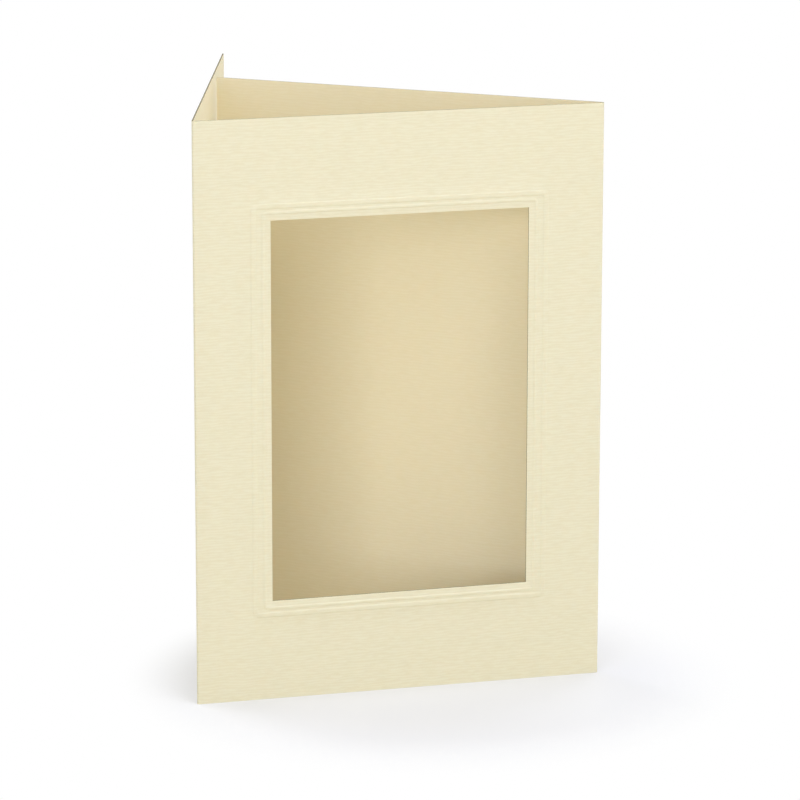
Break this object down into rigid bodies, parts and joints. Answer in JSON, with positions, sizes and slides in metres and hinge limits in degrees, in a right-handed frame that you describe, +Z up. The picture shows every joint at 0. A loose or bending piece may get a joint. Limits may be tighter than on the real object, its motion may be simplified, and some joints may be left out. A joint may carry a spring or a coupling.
{
  "type": "passe-partout card",
  "caption": "Folded greeting card that stands as a three-sided screen, with a rectangular window for a photograph cut in its front panel and an embossed frame around the window.",
  "frame": {"origin": "middle of the bounding box in X and Y, on the plane that the card's bottom cut edge stands on", "axes": "+X along the front panel from the left fold to the right fold, +Y from the front panel to the back, +Z up along the folds"},
  "size_m": [0.12, 0.113, 0.169],
  "materials": {
    "cream_ribbed_card": "uncoated cream card with fine laid ribs, matt"
  },
  "bodies": {
    "root": {"folded_card": "cream_ribbed_card"}
  },
  "joints": []
}
